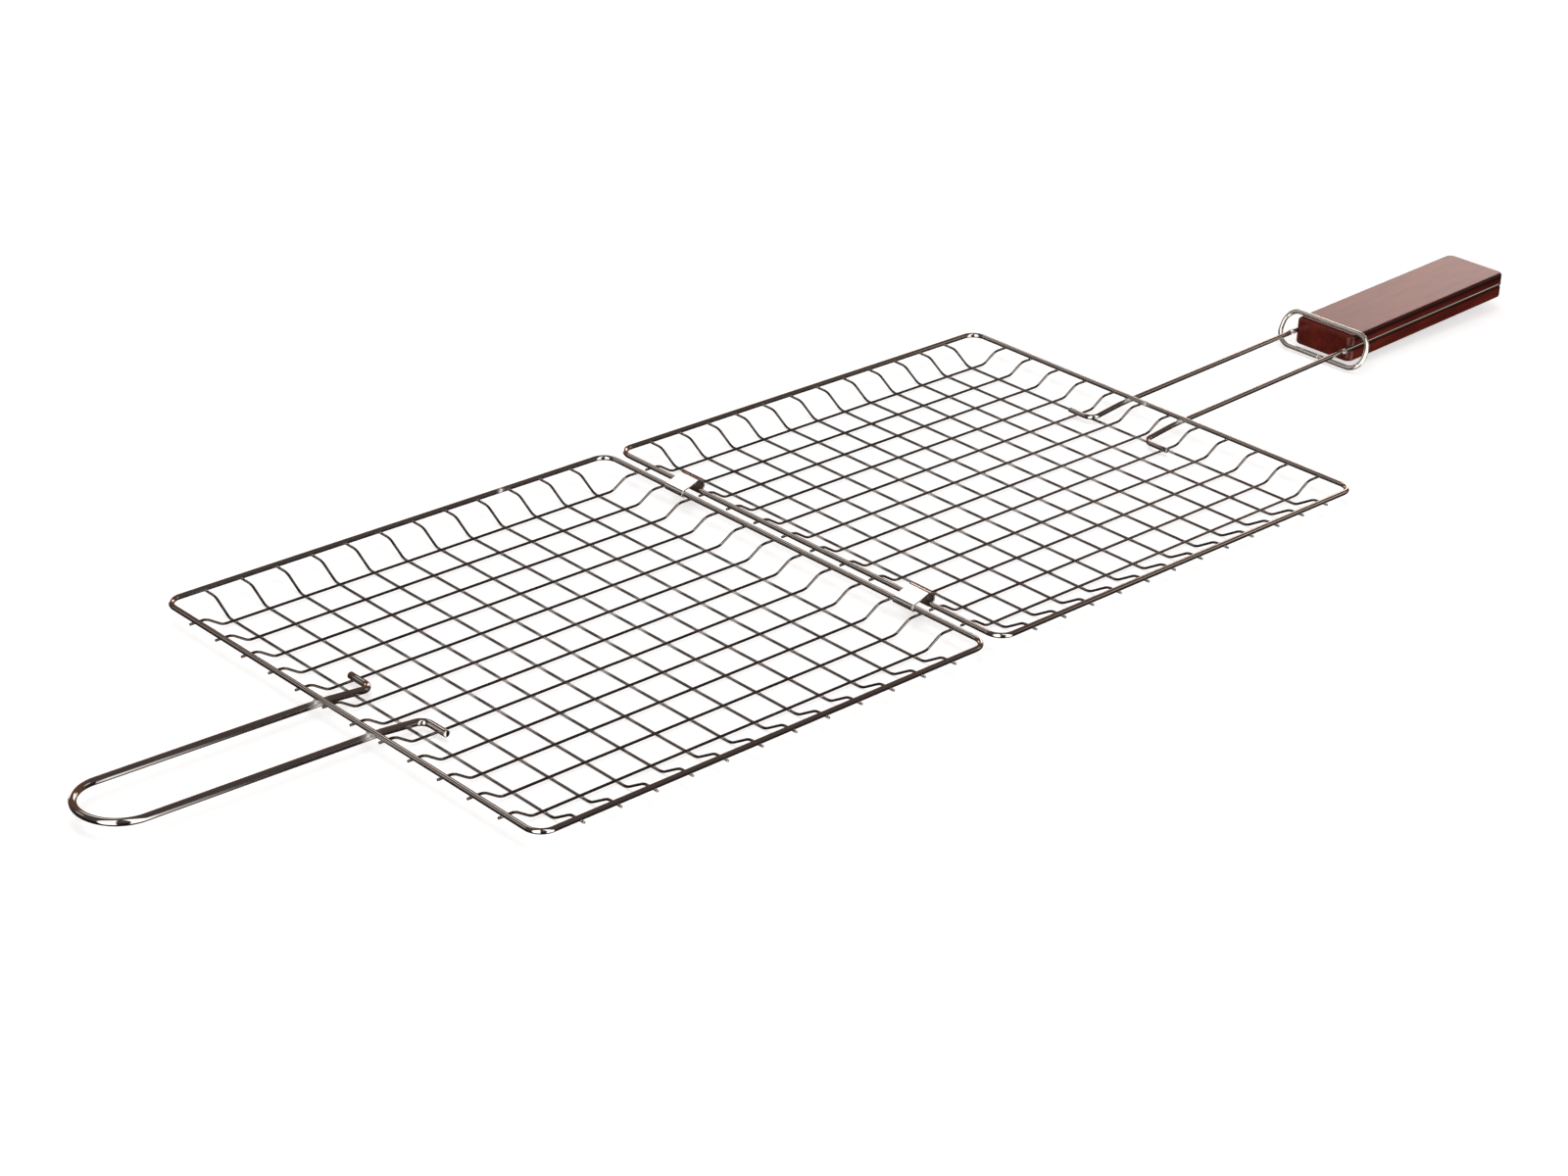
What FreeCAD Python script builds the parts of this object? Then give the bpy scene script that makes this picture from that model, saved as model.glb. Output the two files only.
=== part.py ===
import FreeCAD, Part
import math
import os
import Sketcher
from FreeCAD import Placement, Rotation, Vector

# A folding grill basket laid open: two shallow wire trays side by side, joined by two sheet clips that
# wrap both hinge rims. The left tray carries a wire loop handle, the right tray a long wire handle with
# a wooden grip, and a rounded wire ring on that handle slides over both handles to lock the closed basket.
# X runs along the length towards the grip, Y across, Z up. The origin is at the middle of the footprint,
# on the surface that the trays stand on.

DIMENSIONS = {
    "MeshPitch": 20.0,          # spacing of the mesh wires, both ways
    "MeshCount": 12,            # mesh wires each way in a tray
    "MeshDiameter": 1.3,
    "MeshInset": 23.0,          # rim centre line to the first mesh wire
    "MeshStub": 2.1,            # wire ends stand this far past the rim's centre line
    "MeshShelf": 6.6,           # straight end of a mesh wire under the rim
    "MeshSlope": 32.0,          # degrees, the raised ends' slope
    "MeshBend": 8.0,            # bend radius of a mesh wire's centre line
    "TrayDepth": 7.5,           # rim centre line down to the upper mesh wires
    "RimDiameter": 2.7,
    "RimCorner": 8.0,
    "HingeSpacing": 8.5,        # between the two hinge rims' centre lines
    "WeldSink": 0.1,            # how far welded wires sink into each other
    "LoopDiameter": 3.5,
    "LoopHalfWidth": 18.7,
    "LoopShift": -2.8,          # the loop handle's centre line, off the basket's centre plane
    "LoopReach": 131.0,         # rim to the loop's far end, along the centre line
    "LoopRise": 1.2,            # degrees
    "HandleDiameter": 2.7,
    "HandleHalfWidth": 18.3,
    "HandleRise": 2.2,          # degrees
    "FootInset": 29.0,          # rim to a handle's welded foot
    "FootTip": 34.5,            # centre plane to the foot's end
    "FootBend": 5.0,
    "KinkInset": 6.0,           # where a handle leg turns to pass under the rim
    "KinkBend": 20.0,
    "StopSetback": 4.4,         # crimped stops, in front of the grip
    "StopLength": 2.6,
    "StopWidth": 4.8,
    "StopHeight": 1.7,
    "GripDistance": 147.0,      # rim to the grip's front face, along the handle
    "GripLength": 149.0,
    "GripWidth": 39.5,
    "GripThickness": 15.2,
    "GripBelowWire": 8.1,       # wire plane down to the grip's underside
    "GripCorner": 4.5,
    "GripEdge": 1.5,
    "GripEndBend": 8.0,         # bend of the handle wire round the grip's end
    "GripEndGap": 2.6,          # grip's end face to the wire's centre line
    "GrooveDiameter": 2.8,
    "GrooveOpening": 2.0,       # the groove's section reaches this far out of its centre line
    "RingDiameter": 2.8,
    "RingWidth": 58.5,          # between centre lines
    "RingHeight": 20.2,
    "RingCorner": 9.0,
    "RingLean": 24.0,           # degrees from upright, top towards the grip
    "RingSeat": 5.7,            # top bar, behind the grip's front face
    "RingGap": 0.3,
    "ClipLength": 13.0,
    "ClipPlace": 80.0,          # centre plane to a clip's middle
    "ClipThickness": 0.6,
    "ClipBore": 1.4,            # inner radius of the barrel round the loop tray's rim
    "ClipTail": 240.0,          # degrees that the barrel curls round
    "HookBore": 3.2,            # inner radius of the loose hook round the grip tray's rim
    "HookShift": 1.3,           # hook's centre past that rim's centre line
    "HookRise": 1.2,            # hook's centre above that rim's centre line
    "HookTail": 200.0,          # degrees that the hook curls round
}

doc = FreeCAD.newDocument("grill_basket")
sheet = doc.addObject("Spreadsheet::Sheet", "Sizes")
for row, (alias, value) in enumerate(DIMENSIONS.items(), start=1):
    sheet.set(f"A{row}", alias)
    sheet.set(f"B{row}", str(value))
    sheet.setAlias(f"B{row}", alias)
doc.recompute()


def size(alias):
    return float(sheet.get(alias))


# Lengths and places worked out from the sheet
mesh_count = int(size("MeshCount"))
half_tray = size("MeshPitch") * (mesh_count - 1) / 2 + size("MeshInset")
shelf_depth = (size("RimDiameter") + size("MeshDiameter")) / 2 - size("WeldSink")
long_depth = size("TrayDepth")
cross_depth = long_depth + size("MeshDiameter") - size("WeldSink")
rim_height = cross_depth + size("MeshDiameter") / 2
grip_end = size("GripDistance") + size("GripLength") + size("GripEndGap")
left_end = size("HingeSpacing") / 2 + 2 * half_tray + size("LoopReach") + size("LoopDiameter") / 2
right_end = (size("HingeSpacing") / 2 + 2 * half_tray
             + grip_end * math.cos(math.radians(size("HandleRise"))) + size("HandleDiameter") / 2)
hinge_x = (left_end - right_end) / 2
tray_offset = size("HingeSpacing") / 2 + half_tray

SHELF = "-((<<Sizes>>.RimDiameter + <<Sizes>>.MeshDiameter) / 2 - <<Sizes>>.WeldSink)"
HALF_TRAY = "(<<Sizes>>.MeshPitch * (<<Sizes>>.MeshCount - 1) / 2 + <<Sizes>>.MeshInset)"
LONG_DEPTH = "-<<Sizes>>.TrayDepth"
CROSS_DEPTH = "-(<<Sizes>>.TrayDepth + <<Sizes>>.MeshDiameter - <<Sizes>>.WeldSink)"


def plane(body, role):
    return next(f for f in body.Origin.OriginFeatures if f.Role == role)


def sketch_on(body, role, name, offset=Vector()):
    sketch = body.newObject("Sketcher::SketchObject", name)
    sketch.AttachmentSupport = (plane(body, role), "")
    sketch.MapMode = "FlatFace"
    sketch.AttachmentOffset = Placement(offset, Rotation())
    return sketch


def bind(sketch, kind, where, value, expression):
    """Add a dimension to a sketch and drive it from the sheet."""
    index = sketch.addConstraint(Sketcher.Constraint(kind, *where, value))
    sketch.setExpression(f"Constraints[{index}]", expression)


def arc(x, y, radius, first, last):
    circle = Part.Circle(Vector(x, y, 0), Vector(0, 0, 1), radius)
    return Part.ArcOfCircle(circle, math.radians(first), math.radians(last))


def line(x0, y0, x1, y1):
    return Part.LineSegment(Vector(x0, y0, 0), Vector(x1, y1, 0))


def round_section(body, name, diameter, offset):
    """The wire's round section, square to local X at the start of its path."""
    sketch = sketch_on(body, "YZ_Plane", name, offset)
    sketch.addGeometry(Part.Circle(Vector(), Vector(0, 0, 1), size(diameter) / 2))
    sketch.addConstraint(Sketcher.Constraint("Coincident", 0, 3, -1, 1))
    bind(sketch, "Diameter", (0,), size(diameter), f"<<Sizes>>.{diameter}")
    return sketch


def groove_section(body, name, offset):
    """A round-bottomed slot, open on the outer side, square to local X at the start of its path."""
    r, out = size("GrooveDiameter") / 2, size("GrooveOpening")
    sketch = sketch_on(body, "YZ_Plane", name, offset)
    sketch.addGeometry([
        arc(0, 0, r, 270, 450),
        line(0, r, -out, r),
        line(-out, r, -out, -r),
        line(-out, -r, 0, -r),
    ], False)
    for piece in range(4):
        sketch.addConstraint(Sketcher.Constraint("Coincident", piece, 2, (piece + 1) % 4, 1))
    sketch.addConstraint(Sketcher.Constraint("Coincident", 0, 3, -1, 1))
    for flat in (1, 3):
        sketch.addConstraint(Sketcher.Constraint("Horizontal", flat))
    sketch.addConstraint(Sketcher.Constraint("Vertical", 2))
    sketch.addConstraint(Sketcher.Constraint("PointOnObject", 0, 1, -2))
    bind(sketch, "Radius", (0,), r, "<<Sizes>>.GrooveDiameter / 2")
    bind(sketch, "DistanceX", (1, 2), -out, "-<<Sizes>>.GrooveOpening")
    return sketch


def pipe(body, kind, spine, section):
    feature = body.newObject(f"PartDesign::{kind}", kind)
    feature.Profile = section
    feature.Spine = (spine, [])
    return feature


def mesh_wire(label, depth, depth_expression, placement):
    """One mesh wire: flat along the tray's floor, both ends bent up to lie under the rim."""
    body = doc.addObject("PartDesign::Body", label)
    bend = size("MeshBend")
    slope = math.radians(size("MeshSlope"))
    reach = half_tray + size("MeshStub")
    top = -shelf_depth
    bottom = -depth
    knee = reach - size("MeshShelf")
    drop = bend * (1 - math.cos(slope))
    upper = knee - bend * math.sin(slope)
    lower = upper - (top - bottom - 2 * drop) / math.tan(slope)
    toe = lower - bend * math.sin(slope)
    angle = size("MeshSlope")

    spine = sketch_on(body, "XZ_Plane", "Path")
    spine.addGeometry([
        line(-reach, top, -knee, top),
        arc(-knee, top - bend, bend, 90 - angle, 90),
        line(-upper, top - drop, -lower, bottom + drop),
        arc(-toe, bottom + bend, bend, 270 - angle, 270),
        line(-toe, bottom, toe, bottom),
        arc(toe, bottom + bend, bend, 270, 270 + angle),
        line(lower, bottom + drop, upper, top - drop),
        arc(knee, top - bend, bend, 90, 90 + angle),
        line(knee, top, reach, top),
    ], False)
    for first, end, second, start in [(0, 2, 1, 2), (1, 1, 2, 1), (2, 2, 3, 1), (3, 2, 4, 1),
                                      (4, 2, 5, 1), (5, 2, 6, 1), (6, 2, 7, 2), (7, 1, 8, 1)]:
        spine.addConstraint(Sketcher.Constraint("Tangent", first, end, second, start))
    for flat in (0, 4, 8):
        spine.addConstraint(Sketcher.Constraint("Horizontal", flat))
    for curve in (1, 3, 5, 7):
        bind(spine, "Radius", (curve,), bend, "<<Sizes>>.MeshBend")
    bind(spine, "DistanceX", (0, 1), -reach, f"-({HALF_TRAY} + <<Sizes>>.MeshStub)")
    bind(spine, "DistanceX", (8, 2), reach, f"{HALF_TRAY} + <<Sizes>>.MeshStub")
    bind(spine, "DistanceX", (0, 1, 0, 2), reach - knee, "<<Sizes>>.MeshShelf")
    bind(spine, "DistanceX", (8, 1, 8, 2), reach - knee, "<<Sizes>>.MeshShelf")
    bind(spine, "DistanceY", (0, 1), top, SHELF)
    bind(spine, "DistanceY", (8, 2), top, SHELF)
    bind(spine, "DistanceY", (4, 1), bottom, depth_expression)
    bind(spine, "DistanceX", (2, 1, 2, 2), upper - lower,
         "(" + SHELF + " - (" + depth_expression + ")"
         " - 2 * <<Sizes>>.MeshBend * (1 - cos(<<Sizes>>.MeshSlope * 1 deg)))"
         " / tan(<<Sizes>>.MeshSlope * 1 deg)")
    section = round_section(body, "Section", "MeshDiameter", Vector(0, top, -reach))
    pipe(body, "AdditivePipe", spine, section)
    body.Placement = placement
    return body


def rounded_rectangle(sketch, half_x, half_y, corner, expressions):
    """A rectangle with round corners about the sketch's origin, fully driven by the sheet."""
    x, y, r = half_x, half_y, corner
    sketch.addGeometry([
        line(-x + r, -y, x - r, -y),
        arc(x - r, -y + r, r, 270, 360),
        line(x, -y + r, x, y - r),
        arc(x - r, y - r, r, 0, 90),
        line(x - r, y, -x + r, y),
        arc(-x + r, y - r, r, 90, 180),
        line(-x, y - r, -x, -y + r),
        arc(-x + r, -y + r, r, 180, 270),
    ], False)
    for piece in range(8):
        sketch.addConstraint(Sketcher.Constraint("Tangent", piece, 2, (piece + 1) % 8, 1))
    for corner_arc in (1, 3, 5):
        sketch.addConstraint(Sketcher.Constraint("Equal", corner_arc, corner_arc + 2))
    sketch.addConstraint(Sketcher.Constraint("Horizontal", 0))
    sketch.addConstraint(Sketcher.Constraint("Vertical", 2))
    in_x, in_y, in_corner = expressions
    bind(sketch, "Radius", (1,), r, in_corner)
    bind(sketch, "DistanceY", (0, 1), -y, f"-({in_y})")
    bind(sketch, "DistanceY", (4, 1), y, in_y)
    bind(sketch, "DistanceX", (2, 1), x, in_x)
    bind(sketch, "DistanceX", (6, 1), -x, f"-({in_x})")


def closed_wire(label, half_x, half_y, corner, diameter, expressions, placement):
    """A wire bent into a round-cornered rectangle, with its ends butt-welded."""
    body = doc.addObject("PartDesign::Body", label)
    spine = sketch_on(body, "XY_Plane", "Path")
    rounded_rectangle(spine, half_x, half_y, corner, expressions)
    section = round_section(body, "Section", diameter, Vector(-half_y, 0, -half_x + corner))
    pipe(body, "AdditivePipe", spine, section)
    body.Placement = placement
    return body


def tray(name, side):
    """A tray's rim and its two layers of mesh wires. side is -1 on the left of the hinge, +1 on the right."""
    centre = Vector(hinge_x + side * tray_offset, 0, rim_height)
    rim = (HALF_TRAY, HALF_TRAY, "<<Sizes>>.RimCorner")
    pieces = [closed_wire(f"{name}_rim", half_tray, half_tray, size("RimCorner"), "RimDiameter", rim,
                          Placement(centre, Rotation()))]
    for number in range(mesh_count):
        place = (number - (mesh_count - 1) / 2) * size("MeshPitch")
        along = Placement(centre + Vector(0, place, 0), Rotation())
        across = Placement(centre + Vector(place, 0, 0), Rotation(Vector(0, 0, 1), 90))
        pieces.append(mesh_wire(f"{name}_long_wire_{number + 1:02d}", long_depth, LONG_DEPTH, along))
        pieces.append(mesh_wire(f"{name}_cross_wire_{number + 1:02d}", cross_depth, CROSS_DEPTH, across))
    return pieces


def bent_path(corners):
    """A wire path: straight runs between corners, each inner corner rounded to its own radius."""
    points = [Vector(*point) for point, _ in corners]
    edges = []
    start = points[0]
    for before, here, after, (_, radius) in zip(points, points[1:], points[2:], corners[1:]):
        back = (before - here).normalize()
        on = (after - here).normalize()
        half = back.getAngle(on) / 2
        setback = radius / math.tan(half)
        middle = (back + on).normalize() * (radius / math.sin(half) - radius)
        into = here + back * setback
        out = here + on * setback
        if (into - start).Length > 1e-6:
            edges.append(Part.LineSegment(start, into).toShape())
        edges.append(Part.Arc(into, here + middle, out).toShape())
        start = out
    edges.append(Part.LineSegment(start, points[-1]).toShape())
    return Part.Wire(edges)


def handle_frame(side, diameter, rise):
    """The point under the outer rim where a handle's legs are welded, and the way they lead."""
    drop = (size("RimDiameter") + size(diameter)) / 2 - size("WeldSink")
    weld = Vector(hinge_x + side * (tray_offset + half_tray), 0, rim_height - drop)
    angle = math.radians(size(rise))
    return weld, Vector(side * math.cos(angle), 0, math.sin(angle))


def handle_wire(label, side, diameter, half_width, rise, reach, end_bend, shift=0.0):
    """One wire bent to a long U: feet welded on the mesh, legs under the rim, a rounded far end."""
    weld, lead = handle_frame(side, diameter, rise)
    foot = Vector(weld.x - side * size("FootInset"), 0,
                  rim_height - long_depth + (size("MeshDiameter") + size(diameter)) / 2 - size("WeldSink"))
    kink = weld - lead * size("KinkInset")
    end = weld + lead * reach
    leg = [(foot, size("FootTip"), 0), (foot, half_width, size("FootBend")),
           (kink, half_width, size("KinkBend")), (end, half_width, end_bend)]
    there = [((p.x, shift + y, p.z), radius) for p, y, radius in leg]
    back = [((p.x, shift - y, p.z), radius) for p, y, radius in reversed(leg)]

    spine = doc.addObject("Part::Feature", f"{label}_path")
    spine.Shape = bent_path(there + back)
    section = doc.addObject("Part::Circle", f"{label}_section")
    section.setExpression("Radius", f"<<Sizes>>.{diameter} / 2")
    section.Placement = Placement(Vector(foot.x, shift + size("FootTip"), foot.z), Rotation(Vector(1, 0, 0), 90))
    wire = doc.addObject("Part::Sweep", label)
    wire.Sections = [section]
    wire.Spine = (spine, [])
    wire.Solid = True
    wire.Frenet = False
    return wire


def crimped_handle(label, wire):
    """The long handle with a flattened stop on each leg, just in front of the grip."""
    weld, lead = handle_frame(1, "HandleDiameter", "HandleRise")
    turn = Rotation(Vector(0, 1, 0), -size("HandleRise"))
    at = weld + lead * (size("GripDistance") - size("StopSetback"))
    stops = []
    for name, side in (("left", 1), ("right", -1)):
        stop = doc.addObject("Part::Box", f"{label}_stop_{name}")
        stop.setExpression("Length", "<<Sizes>>.StopLength")
        stop.setExpression("Width", "<<Sizes>>.StopWidth")
        stop.setExpression("Height", "<<Sizes>>.StopHeight")
        centre = Vector(size("StopLength"), size("StopWidth"), size("StopHeight")) / 2
        leg = at + Vector(0, side * size("HandleHalfWidth"), 0)
        stop.Placement = Placement(leg - turn.multVec(centre), turn)
        stops.append(stop)
    handle = doc.addObject("Part::MultiFuse", label)
    handle.Shapes = [wire, *stops]
    return handle


def wood_grip(label):
    """A flat wooden bar with softened edges, grooved along both sides and its end for the handle wire."""
    weld, lead = handle_frame(1, "HandleDiameter", "HandleRise")
    body = doc.addObject("PartDesign::Body", label)
    half_length = size("GripLength") / 2
    outline = sketch_on(body, "XY_Plane", "Outline", Vector(0, 0, -size("GripBelowWire")))
    outline.setExpression("AttachmentOffset.Base.z", "-<<Sizes>>.GripBelowWire")
    rounded_rectangle(outline, half_length, size("GripWidth") / 2, size("GripCorner"),
                      ("<<Sizes>>.GripLength / 2", "<<Sizes>>.GripWidth / 2", "<<Sizes>>.GripCorner"))
    bar = body.newObject("PartDesign::Pad", "Bar")
    bar.Profile = outline
    bar.setExpression("Length", "<<Sizes>>.GripThickness")
    doc.recompute()

    top = size("GripThickness") - size("GripBelowWire")
    flats = (top, -size("GripBelowWire"))
    rims = [f"Edge{n}" for n, edge in enumerate(bar.Shape.Edges, start=1)
            if any(abs(edge.BoundBox.ZMin - z) < 0.01 and abs(edge.BoundBox.ZMax - z) < 0.01 for z in flats)]
    soft = body.newObject("PartDesign::Fillet", "SoftEdges")
    soft.Base = (bar, rims)
    soft.setExpression("Radius", "<<Sizes>>.GripEdge")
    doc.recompute()

    front = -half_length - size("GripEndBend")
    end = half_length + size("GripEndGap")
    side = size("HandleHalfWidth")
    bend = size("GripEndBend")
    groove = sketch_on(body, "XY_Plane", "Groove")
    groove.addGeometry([
        line(front, -side, end - bend, -side),
        arc(end - bend, -side + bend, bend, 270, 360),
        line(end, -side + bend, end, side - bend),
        arc(end - bend, side - bend, bend, 0, 90),
        line(end - bend, side, front, side),
    ], False)
    for piece in range(4):
        groove.addConstraint(Sketcher.Constraint("Tangent", piece, 2, piece + 1, 1))
    for flat in (0, 4):
        groove.addConstraint(Sketcher.Constraint("Horizontal", flat))
    bind(groove, "Radius", (1,), bend, "<<Sizes>>.GripEndBend")
    bind(groove, "Radius", (3,), bend, "<<Sizes>>.GripEndBend")
    bind(groove, "DistanceY", (0, 1), -side, "-<<Sizes>>.HandleHalfWidth")
    bind(groove, "DistanceY", (4, 1), side, "<<Sizes>>.HandleHalfWidth")
    bind(groove, "DistanceX", (2, 1), end, "<<Sizes>>.GripLength / 2 + <<Sizes>>.GripEndGap")
    bind(groove, "DistanceX", (0, 1), front, "-<<Sizes>>.GripLength / 2 - <<Sizes>>.GripEndBend")
    bind(groove, "DistanceX", (4, 2), front, "-<<Sizes>>.GripLength / 2 - <<Sizes>>.GripEndBend")
    section = groove_section(body, "GrooveSection", Vector(-side, 0, front))
    pipe(body, "SubtractivePipe", groove, section)
    body.Placement = Placement(weld + lead * (size("GripDistance") + half_length),
                               Rotation(Vector(0, 1, 0), -size("HandleRise")))
    return body


def locking_ring(label):
    """The ring, leaning with its top bar over the grip's front end and its lower bar in front of it."""
    weld, lead = handle_frame(1, "HandleDiameter", "HandleRise")
    up = Vector(-lead.z, 0, lead.x)
    grip_top = size("GripThickness") - size("GripBelowWire")
    top_bar = (weld + lead * (size("GripDistance") + size("RingSeat"))
               + up * (grip_top + size("RingGap") + size("RingDiameter") / 2))
    lean = math.radians(size("RingLean"))
    centre = top_bar - Vector(math.sin(lean), 0, math.cos(lean)) * (size("RingHeight") / 2)
    return closed_wire(label, size("RingHeight") / 2, size("RingWidth") / 2, size("RingCorner"), "RingDiameter",
                       ("<<Sizes>>.RingHeight / 2", "<<Sizes>>.RingWidth / 2", "<<Sizes>>.RingCorner"),
                       Placement(centre, Rotation(Vector(0, 1, 0), size("RingLean") - 90)))


def polar(x, y, radius, degrees):
    return x + radius * math.cos(math.radians(degrees)), y + radius * math.sin(math.radians(degrees))


def hinge_clip(label, place):
    """A sheet strip over both hinge rims: a close barrel on the loop tray's, a loose hook on the grip tray's."""
    body = doc.addObject("PartDesign::Body", label)
    skin = size("ClipThickness")
    bore, loose = size("ClipBore"), size("HookBore")
    axis = size("HingeSpacing") / 2
    hook_x, hook_z = axis + size("HookShift"), size("HookRise")
    run = axis + hook_x
    # The flat between the two curls touches both of them at this angle round their centres
    meet = math.degrees(math.atan2(hook_z, run) + math.acos((bore - loose) / math.hypot(run, hook_z)))
    tail, tip = meet + size("ClipTail"), meet - size("HookTail")
    profile = sketch_on(body, "XZ_Plane", "Profile")
    profile.addGeometry([
        line(*polar(hook_x, hook_z, loose + skin, meet), *polar(-axis, 0, bore + skin, meet)),
        arc(-axis, 0, bore + skin, meet, tail),
        line(*polar(-axis, 0, bore + skin, tail), *polar(-axis, 0, bore, tail)),
        arc(-axis, 0, bore, meet, tail),
        line(*polar(-axis, 0, bore, meet), *polar(hook_x, hook_z, loose, meet)),
        arc(hook_x, hook_z, loose, tip, meet),
        line(*polar(hook_x, hook_z, loose, tip), *polar(hook_x, hook_z, loose + skin, tip)),
        arc(hook_x, hook_z, loose + skin, tip, meet),
    ], False)
    for first, end, second, start in [(0, 2, 1, 1), (3, 1, 4, 1), (4, 2, 5, 2), (7, 2, 0, 1)]:
        profile.addConstraint(Sketcher.Constraint("Tangent", first, end, second, start))
    for first, end, second, start in [(1, 2, 2, 1), (2, 2, 3, 2), (5, 1, 6, 1), (6, 2, 7, 1),
                                      (1, 3, 3, 3), (5, 3, 7, 3)]:
        profile.addConstraint(Sketcher.Constraint("Coincident", first, end, second, start))
    bind(profile, "Radius", (3,), bore, "<<Sizes>>.ClipBore")
    bind(profile, "Radius", (5,), loose, "<<Sizes>>.HookBore")
    bind(profile, "Radius", (1,), bore + skin, "<<Sizes>>.ClipBore + <<Sizes>>.ClipThickness")
    bind(profile, "Radius", (7,), loose + skin, "<<Sizes>>.HookBore + <<Sizes>>.ClipThickness")
    bind(profile, "DistanceX", (1, 3), -axis, "-<<Sizes>>.HingeSpacing / 2")
    bind(profile, "DistanceX", (5, 3), hook_x, "<<Sizes>>.HingeSpacing / 2 + <<Sizes>>.HookShift")
    bind(profile, "DistanceY", (5, 3), hook_z, "<<Sizes>>.HookRise")
    profile.addConstraint(Sketcher.Constraint("PointOnObject", 1, 3, -1))
    strip = body.newObject("PartDesign::Pad", "Strip")
    strip.Profile = profile
    strip.Midplane = True
    strip.setExpression("Length", "<<Sizes>>.ClipLength")
    body.Placement = Placement(Vector(hinge_x, place, rim_height), Rotation())
    return body


nodes = tray("loop_tray", -1) + tray("grip_tray", 1)
nodes.append(handle_wire("loop_handle", -1, "LoopDiameter", size("LoopHalfWidth"), "LoopRise",
                         size("LoopReach") / math.cos(math.radians(size("LoopRise"))), size("LoopHalfWidth"),
                         size("LoopShift")))
long_wire = handle_wire("long_handle_wire", 1, "HandleDiameter", size("HandleHalfWidth"), "HandleRise",
                        grip_end, size("GripEndBend"))
nodes.append(crimped_handle("long_handle", long_wire))
nodes.append(wood_grip("wood_grip"))
nodes.append(locking_ring("locking_ring"))
nodes.append(hinge_clip("hinge_clip_left", size("ClipPlace")))
nodes.append(hinge_clip("hinge_clip_right", -size("ClipPlace")))
doc.recompute()

failed = [item.Name for item in doc.Objects if {"Invalid", "Error"} & set(item.State)]
bad = [node.Label for node in nodes
       if node.Shape.isNull() or not node.Shape.isValid() or len(node.Shape.Solids) != 1]
if failed or bad:
    raise RuntimeError(f"failed objects {failed}, bad shapes {bad}")

os.makedirs("parts", exist_ok=True)
for node in nodes:
    node.Shape.exportStep(f"parts/{node.Label}.step")
whole = FreeCAD.BoundBox()
for node in nodes:
    whole.add(node.Shape.BoundBox)
print(len(nodes), "nodes; box", [round(v, 2) for v in
      (whole.XMin, whole.XMax, whole.YMin, whole.YMax, whole.ZMin, whole.ZMax)])
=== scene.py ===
import math

import bpy
import numpy as np
from mathutils import Matrix, Vector


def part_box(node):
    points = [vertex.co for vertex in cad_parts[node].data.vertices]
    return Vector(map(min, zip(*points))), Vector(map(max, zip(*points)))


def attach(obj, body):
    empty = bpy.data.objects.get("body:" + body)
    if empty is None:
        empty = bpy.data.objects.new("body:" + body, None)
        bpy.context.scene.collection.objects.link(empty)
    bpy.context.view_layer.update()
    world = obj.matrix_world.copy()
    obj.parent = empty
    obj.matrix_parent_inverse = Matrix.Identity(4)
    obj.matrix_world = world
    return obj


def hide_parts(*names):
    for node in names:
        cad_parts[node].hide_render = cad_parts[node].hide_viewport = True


# A folding grill basket, laid open. Every wire, weld and clip is built here at full detail around the packed
# CAD nodes, which give each piece its place. Lengths in this file are millimetres unless a comment says
# otherwise, and become metres when a mesh is made.

MM = 0.001
rng = np.random.default_rng(20)

# Sizes that the boxes of the CAD nodes don't give
RIM_CORNER = 8.0
MESH_SHELF, MESH_SLOPE, MESH_BEND = 6.6, 32.0, 8.0
LOOP_DIAMETER, LOOP_HALF_WIDTH, LOOP_REACH, LOOP_RISE, LOOP_SHIFT = 3.5, 18.7, 131.0, 1.2, -2.8
HANDLE_DIAMETER, HANDLE_HALF_WIDTH, HANDLE_RISE = 2.7, 18.3, 2.2
FOOT_INSET, FOOT_TIP, FOOT_BEND = 29.0, 34.5, 5.0
KINK_INSET, KINK_BEND = 6.0, 20.0
STOP_SETBACK, STOP_LENGTH, STOP_WIDTH, STOP_HEIGHT = 4.4, 2.6, 4.8, 1.7
GRIP_DISTANCE, GRIP_LENGTH, GRIP_WIDTH, GRIP_THICKNESS, GRIP_BELOW_WIRE = 147.0, 149.0, 39.5, 15.2, 8.1
SHADE_BAND_FROM, SHADE_BAND_TO = 0.05, 3.9    # the dark band of painted shade along the grip's sides, measured down from its top
GRIP_CORNER, GRIP_EDGE, GRIP_END_BEND, GRIP_END_GAP, GROOVE_RADIUS = 4.5, 1.5, 8.0, 2.6, 1.4
RING_DIAMETER, RING_WIDTH, RING_HEIGHT, RING_CORNER, RING_LEAN = 2.8, 58.5, 20.2, 9.0, 24.0
RING_SEAT, RING_GAP = 5.7, 0.3
CLIP_THICKNESS, CLIP_BORE, CLIP_TAIL, CLIP_SAG = 0.6, 1.4, 240.0, 0.12
HOOK_BORE, HOOK_SHIFT, HOOK_RISE, HOOK_TAIL = 3.2, 1.3, 1.2, 200.0
WELD_SINK = 0.1
SKIN = 0.01         # how far the visible surfaces stay inside the CAD's
HIGHLIGHT_SPREAD = 2.2   # how far beside a weld the painted highlight (paler, duller plating) spreads
LOOP_TRAY_SEAM, GRIP_TRAY_SEAM = 0.69, 0.505    # where round each rim its butt weld is, as a share

# The camera: a long lens, turned 45 degrees to the basket and looking down at it
LENS, AZIMUTH, ELEVATION, ROLL = 71.884, -45.057, 26.466, -2.984
CAMERA_DISTANCE, CAMERA_RIGHT, CAMERA_UP = 1512.92, -1.22, -21.10

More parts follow.
